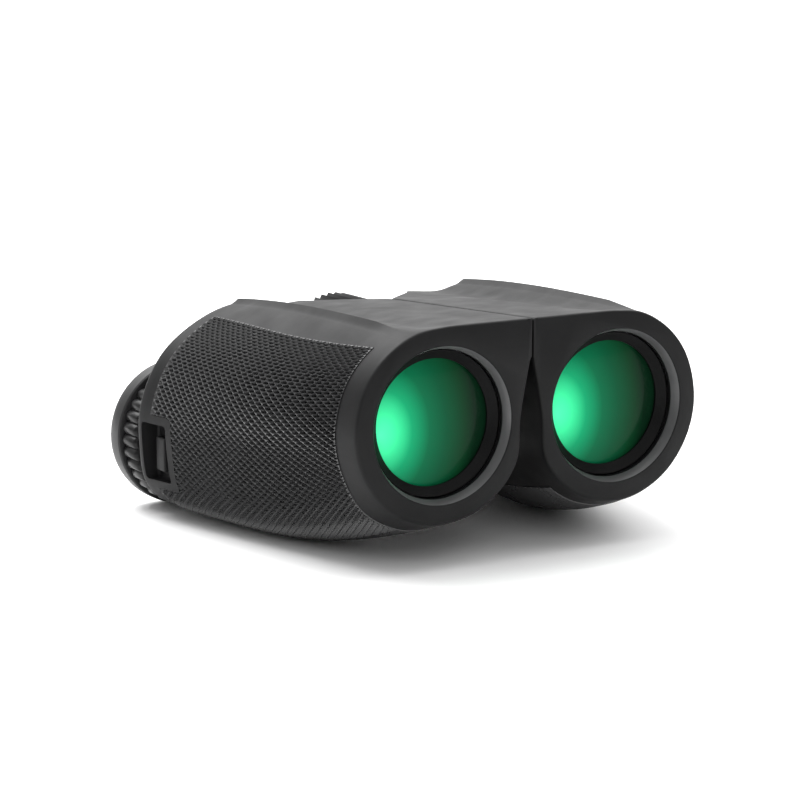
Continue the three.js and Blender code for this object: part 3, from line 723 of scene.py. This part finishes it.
scallopShape = {"count": 34, "depth": 0.8, "outer": 14.8}
scallopSteps = scallopShape["count"] * 10
ribbedProfile = [
    (9.3, 71.6), (13.9, 71.6), (14.5, 71.9), (14.8, 72.3), (14.8, 76.7), (14.6, 77.2), (14.1, 77.5),
    (11.6, 77.5), (11.6, 72.5), (9.3, 72.5),
]
cupProfile = [
    (9.3, 72.8), (11.3, 72.8), (11.3, 77.9), (14.5, 77.9), (15.0, 78.0), (15.25, 78.3), (15.3, 78.7),
    (15.3, 80.5), (15.25, 81.4), (15.1, 82.1), (14.8, 82.7), (14.3, 83.1), (13.8, 83.2), (13.2, 83.1),
    (12.7, 82.7), (11.6, 81.6), (10.3, 80.6), (9.9, 80.3), (9.3, 80.2),
]
lensCellProfile = [
    (7.0, 64), (7.8, 64), (7.8, 79.7), (7.5, 80), (6.7, 80), (6.3, 79.7), (6.1, 79.2), (7.0, 79.2),
    (7.0, 78.9),
]
for side in (1, -1):
    word = "left" if side > 0 else "right"
    ocular, carrier = f"{word}_ocular", "left_ocular" if side > 0 else "right_lens_carrier"
    x, z = side * housing["ocularX"], housing["ocularZ"]
    ringNode = "left_ribbed_ring" if side > 0 else "right_dioptre_ring"
    ring = spunPiece(f"{word}RibbedRing", ribbedProfile, x, z, scallopSteps, scallops(**scallopShape))
    ringBody = "left_ocular" if side > 0 else "dioptre_ring"
    finishPiece(ring, ringBody, looks["plastic"], [ringNode], 50)
    cup = spunPiece(f"{word}Eyecup", cupProfile, x, z, 144)
    finishPiece(cup, f"{word}_eyecup_sleeve", looks["satin"], [f"{word}_eyecup"])
    front = 56.7 if side > 0 else 55.0
    tube = spunPiece(f"{word}Tube", [(8.1, front), (9, front), (9, 79), (8.1, 79)], x, z, 96)
    finishPiece(tube, ocular, looks["blackMetal"], [f"{word}_ocular_tube"])
    cell = spunPiece(f"{word}LensCell", lensCellProfile, x, z, 96)
    finishPiece(cell, carrier, looks["plastic"], [f"{word}_lens_cell"])
    eyeLens = lensPiece(f"{word}EyeLens", 6.7, 75, 77.2, 0.9, 0.9, x, z)
    finishPiece(eyeLens, carrier, looks["eyeGlass"], [f"{word}_eye_lens"])
    field = lensPiece(f"{word}FieldLens", 6.7, 66.4, 68, 0.8, 0.8, x, z)
    finishPiece(field, carrier, looks["glass"], [f"{word}_field_lens"])
print("eyepieces ready")


wheelShape = {"teeth": 44, "toothDepth": 1.15, "toothFrom": 10.6, "sharpness": 2.3, "steps": 10}


def wheelTeeth(turn, radius):
    if radius < wheelShape["toothFrom"]:
        return radius
    phase = (turn * wheelShape["teeth"] / math.tau) % 1
    return radius - wheelShape["toothDepth"] * min(1, abs(phase - 0.5) * wheelShape["sharpness"])


wheelProfile = [
    (2.3, 63), (10.5, 63), (11.5, 63.2), (12, 63.8), (12, 78.2), (11.5, 78.8), (10.7, 79), (9.6, 79),
    (9.4, 78.8), (9.4, 77.8), (2.3, 77.8),
]
wheelSteps = wheelShape["teeth"] * wheelShape["steps"]
wheel = spunPiece("focusWheel", wheelProfile, 0, housing["hingeZ"], wheelSteps, wheelTeeth)
finishPiece(wheel, "focus_drive", looks["plastic"], ["focus_wheel"], 30)
capProfile = [
    (0, 78.1), (8.9, 78.1), (9.1, 78.3), (9.1, 79.0), (8.8, 79.3), (8.2, 79.3), (7.8, 79.0), (4, 78.8),
    (0, 78.75),
]
wheelCap = spunPiece("wheelCap", capProfile, 0, housing["hingeZ"], 96)
finishPiece(wheelCap, "focus_drive", looks["satin"], ["wheel_cap"])
print("focus wheel ready")

cover = {"front": 68.2, "clear": 0.97, "lugGap": 1.3, "screws": [(24.5, 7.5), (37, 4.5), (24.6, -18.6)]}


def rearCover():
    outline = outlineAt(69, 120, ridge=False)
    reach = housing["wall"] + housing["gap"]
    line = outline + inward(outline) * reach
    clear = [np.linalg.norm(outline - point, axis=1).min() > cover["clear"] * reach for point in line]
    line = line[clear]  # without the points that cross over in the corners
    rows = []
    for y, inset in ((cover["front"], 0), (69.6, 0), (69.85, 0.1), (70, 0.35)):
        ring = line + inward(line) * inset
        rows.append([inRow(x, y, z) for x, z in np.vstack([ring, ring[:1]])])
    plate = gridPiece("leftCover", len(line) + 1, len(rows), rows)
    cleanUp(plate)
    hinge = housing["hingeZ"]
    applyBoolean(plate, rod("tubeHole", 9.3, 67, 72, housing["ocularX"], housing["ocularZ"], 96))
    applyBoolean(plate, rod("wheelGap", housing["recessRadius"] + 2.5, 67, 72, 0, hinge, 96))
    lugGap = cover["lugGap"]
    applyBoolean(plate, boxPiece(
        "lugGap", (lug["floorX"] - lugGap, 67, lug["bottom"] - lugGap), (60, 72, lug["top"] + lugGap),
    ))
    for x, z in cover["screws"]:
        applyBoolean(plate, rod("screwHole", 1.3, 67, 72, x, z, 32))
        applyBoolean(plate, rod("screwSink", 2.3, 69, 72, x, z, 48))
    cleanUp(plate, 1e-6)
    return plate


def coverScrew(name, x, z):
    profile = [(0, 64.2), (1, 64.2), (1, 69.3), (2, 69.3), (2, 69.8), (1.7, 70.0), (1.0, 70.1), (0, 70.1)]
    screw = spunPiece(name, profile, x, z, 32)
    for low, high in (((-0.2, -1.1), (0.2, 1.1)), ((-1.1, -0.2), (1.1, 0.2))):
        applyBoolean(screw, boxPiece("slot", (x + low[0], 69.6, z + low[1]), (x + high[0], 71, z + high[1])))
    return screw


leftCover = rearCover()
rightCover = mirroredCopy(leftCover, "rightCover")
finishPiece(leftCover, "left_half", looks["plastic"], ["left_rear_cover"])
finishPiece(rightCover, "right_half", looks["plastic"], ["right_rear_cover"])
for i, (x, z) in enumerate(cover["screws"], 1):
    screw = coverScrew(f"leftScrew{i}", x, z)
    other = mirroredCopy(screw, f"rightScrew{i}")
    finishPiece(screw, "left_half", looks["steel"], [f"left_cover_screw_{i}"])
    finishPiece(other, "right_half", looks["steel"], [f"right_cover_screw_{i}"])
print("rear covers ready")

kept = {
    "glass": ["front_prism", "rear_prism"],
    "blackMetal": ["prism_shelf", "bridge_arm"],
    "steel": ["prism_clip"],
}
for look, names in kept.items():
    for word in ("left", "right"):
        for name in names:
            nodes[f"{word}_{name}"].material_slots[0].material = looks[look]
for name, look in (("hinge_axle", "steel"), ("focus_screw", "brass"), ("bridge_nut", "brass")):
    nodes[name].material_slots[0].material = looks[look]

print("all pieces ready")
